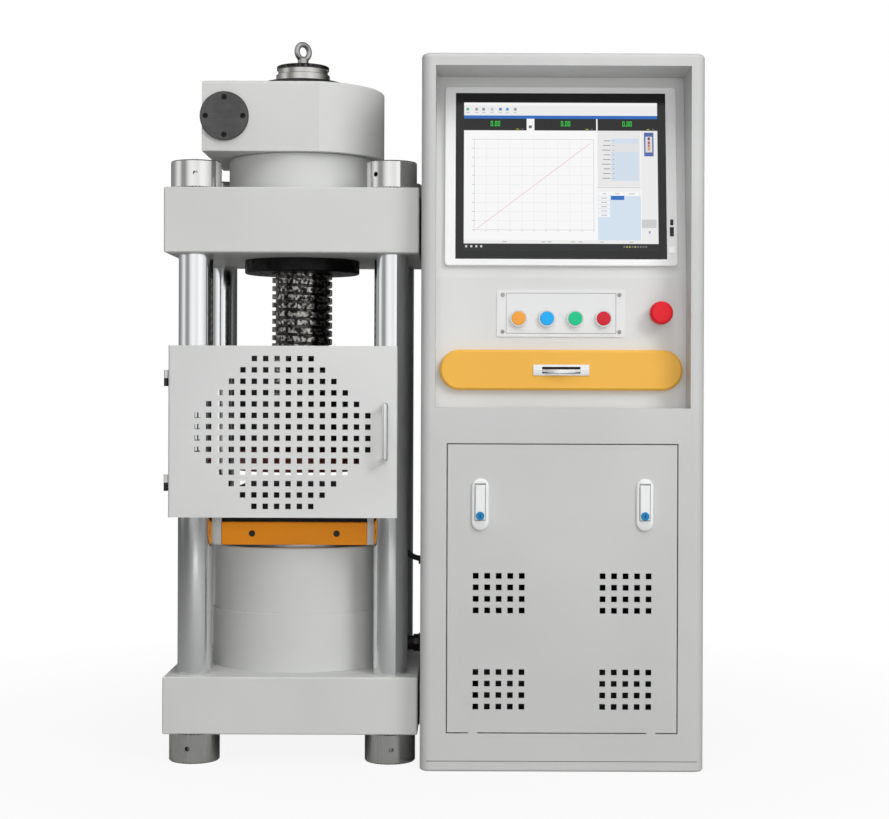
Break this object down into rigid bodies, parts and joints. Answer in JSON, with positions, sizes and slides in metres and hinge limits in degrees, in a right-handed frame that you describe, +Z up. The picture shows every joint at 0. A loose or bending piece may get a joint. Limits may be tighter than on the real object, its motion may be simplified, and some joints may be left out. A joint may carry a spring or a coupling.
{
  "type": "compression testing machine",
  "caption": "Hydraulic compression tester: column load frame with screw-driven tilting platen and perforated guard door, beside a control cabinet with screen and keyboard drawer.",
  "frame": {"origin": "on the floor, under the centre of the whole machine's bounding box", "axes": "+Z up, +X to the right of a person facing the control panel, -Y towards that person"},
  "size_m": [0.927, 0.606, 1.287],
  "materials": {
    "frame_paint": "satin light grey powder coat",
    "cabinet_paint": "satin light grey powder coat",
    "polished_steel": "hard-chromed and polished",
    "machined_steel": "bright machined",
    "dark_steel": "hardened and blackened",
    "oiled_steel": "dark and oiled",
    "black_paint": "semi-gloss black",
    "orange_paint": "gloss orange",
    "yellow_paint": "satin yellow-orange",
    "bronze": "machined bronze",
    "black_rubber": "smooth black cover",
    "seal_rubber": "moulded",
    "zinc_steel": "zinc plated sheet",
    "bright_metal": "satin anodised",
    "button_ring": "bright ring on a black housing",
    "screen_glass": "lit display behind glass",
    "monitor_metal": "satin silver grey",
    "cap_orange": "translucent lens",
    "cap_blue": "translucent lens",
    "cap_green": "translucent lens",
    "cap_red": "translucent lens",
    "estop_red": "gloss red mushroom head",
    "black_plastic": "fine matt"
  },
  "bodies": {
    "machine": {"base_plate": "frame_paint", "columns": "polished_steel", "column_nuts": "machined_steel", "crosshead": "frame_paint", "cylinder_barrel": "frame_paint", "cylinder_collar": "frame_paint", "piston_seal": "seal_rubber", "guide_flange": "black_paint", "gearbox_pedestal": "frame_paint", "gearbox_housing": "frame_paint", "gearbox_caps": "dark_steel", "gearbox_screws": "oiled_steel", "gearbox_bearings": "machined_steel", "feed_motor": "black_paint", "column_clamps": "oiled_steel", "rear_guard": "black_paint", "hydraulic_hose": "black_rubber", "hose_fittings": "oiled_steel", "sensor_lead": "black_plastic", "side_panels": "cabinet_paint", "top_panel": "cabinet_paint", "front_frame": "cabinet_paint", "plinth": "cabinet_paint", "rear_panel": "cabinet_paint", "console_panel": "cabinet_paint", "monitor_bezel": "monitor_metal", "screen": "screen_glass", "monitor_housing": "black_plastic", "button_plate": "monitor_metal", "button_rings": "button_ring", "drawer_runners": "zinc_steel", "oil_tank": "black_paint", "pump_motor": "black_paint", "valve_block": "zinc_steel"},
    "ram": {"piston": "polished_steel", "platen_seat": "frame_paint", "lower_platen": "dark_steel", "front_strip": "orange_paint"},
    "worm_wheel": {"worm_wheel": "bronze"},
    "worm_shaft": {"worm_shaft": "machined_steel"},
    "feed_screw": {"lead_screw": "oiled_steel", "eye_bolt": "zinc_steel", "ball_seat": "dark_steel"},
    "seat_liner": {"seat_liner": "bronze"},
    "upper_platen": {"upper_platen": "dark_steel"},
    "guard_door": {"guard_door": "cabinet_paint", "guard_handle": "bright_metal"},
    "drawer": {"drawer_front": "yellow_paint", "drawer_tray": "zinc_steel", "drawer_pull": "bright_metal"},
    "lower_door": {"lower_door": "cabinet_paint", "lock_bases": "bright_metal"},
    "lock_lever_left": {"lock_lever_left": "bright_metal"},
    "lock_lever_right": {"lock_lever_right": "bright_metal"},
    "power_button": {"power_button": "bright_metal"},
    "button_orange": {"button_orange": "cap_orange"},
    "button_blue": {"button_blue": "cap_blue"},
    "button_green": {"button_green": "cap_green"},
    "button_red": {"button_red": "cap_red"},
    "estop_button": {"estop_button": "estop_red"}
  },
  "joints": [
    {"name": "ram_lift", "type": "slide", "parent": "machine", "child": "ram", "axis": [0, 0, 1], "range_m": [0, 0.02]},
    {"name": "wheel_turn", "type": "hinge", "parent": "machine", "child": "worm_wheel", "pos_m": [-0.2435, -0.034, 1.128], "axis": [0, 0, -1], "range_deg": [-360, 5400]},
    {"name": "worm_turn", "type": "hinge", "parent": "machine", "child": "worm_shaft", "pos_m": [-0.3685, -0.034, 1.128], "axis": [0, 1, 0], "range_deg": [-14400, 216000]},
    {"name": "screw_feed", "type": "slide", "parent": "machine", "child": "feed_screw", "axis": [0, 0, 1], "range_m": [-0.015, 0.225]},
    {"name": "tilt_sideways", "type": "hinge", "parent": "feed_screw", "child": "seat_liner", "pos_m": [-0.2435, -0.034, 0.499], "axis": [0, 1, 0], "range_deg": [-3, 3], "stiffness_Nm_per_rad": 60},
    {"name": "tilt_forward", "type": "hinge", "parent": "seat_liner", "child": "upper_platen", "pos_m": [-0.2435, -0.034, 0.499], "axis": [1, 0, 0], "range_deg": [-3, 3], "stiffness_Nm_per_rad": 60},
    {"name": "guard_swing", "type": "hinge", "parent": "machine", "child": "guard_door", "pos_m": [-0.4571, -0.25, 0.5745], "axis": [0, 0, -1], "range_deg": [0, 110]},
    {"name": "drawer_slide", "type": "slide", "parent": "machine", "child": "drawer", "axis": [0, -1, 0], "range_m": [0, 0.28]},
    {"name": "door_tilt", "type": "hinge", "parent": "machine", "child": "lower_door", "pos_m": [0.2225, -0.294, 0.067], "axis": [1, 0, 0], "range_deg": [0, 30]},
    {"name": "lever_left", "type": "hinge", "parent": "lower_door", "child": "lock_lever_left", "pos_m": [0.083, -0.2968, 0.4835], "axis": [-1, 0, 0], "range_deg": [0, 35]},
    {"name": "lever_right", "type": "hinge", "parent": "lower_door", "child": "lock_lever_right", "pos_m": [0.362, -0.2968, 0.4835], "axis": [-1, 0, 0], "range_deg": [0, 35]},
    {"name": "power_press", "type": "slide", "parent": "machine", "child": "power_button", "axis": [0, 0.9903, -0.1392], "range_m": [0, 0.0015], "stiffness_N_per_m": 500},
    {"name": "press_orange", "type": "slide", "parent": "machine", "child": "button_orange", "axis": [0, 1, 0], "range_m": [0, 0.003], "stiffness_N_per_m": 500},
    {"name": "press_blue", "type": "slide", "parent": "machine", "child": "button_blue", "axis": [0, 1, 0], "range_m": [0, 0.003], "stiffness_N_per_m": 500},
    {"name": "press_green", "type": "slide", "parent": "machine", "child": "button_green", "axis": [0, 1, 0], "range_m": [0, 0.003], "stiffness_N_per_m": 500},
    {"name": "press_red", "type": "slide", "parent": "machine", "child": "button_red", "axis": [0, 1, 0], "range_m": [0, 0.003], "stiffness_N_per_m": 500},
    {"name": "estop_press", "type": "slide", "parent": "machine", "child": "estop_button", "axis": [0, 1, 0], "range_m": [0, 0.004], "stiffness_N_per_m": 1500}
  ],
  "couplings": [
    {"joint": "screw_feed", "follows": "wheel_turn", "m_per_rad": 0.0023873},
    {"joint": "worm_turn", "follows": "wheel_turn", "ratio": 40}
  ]
}
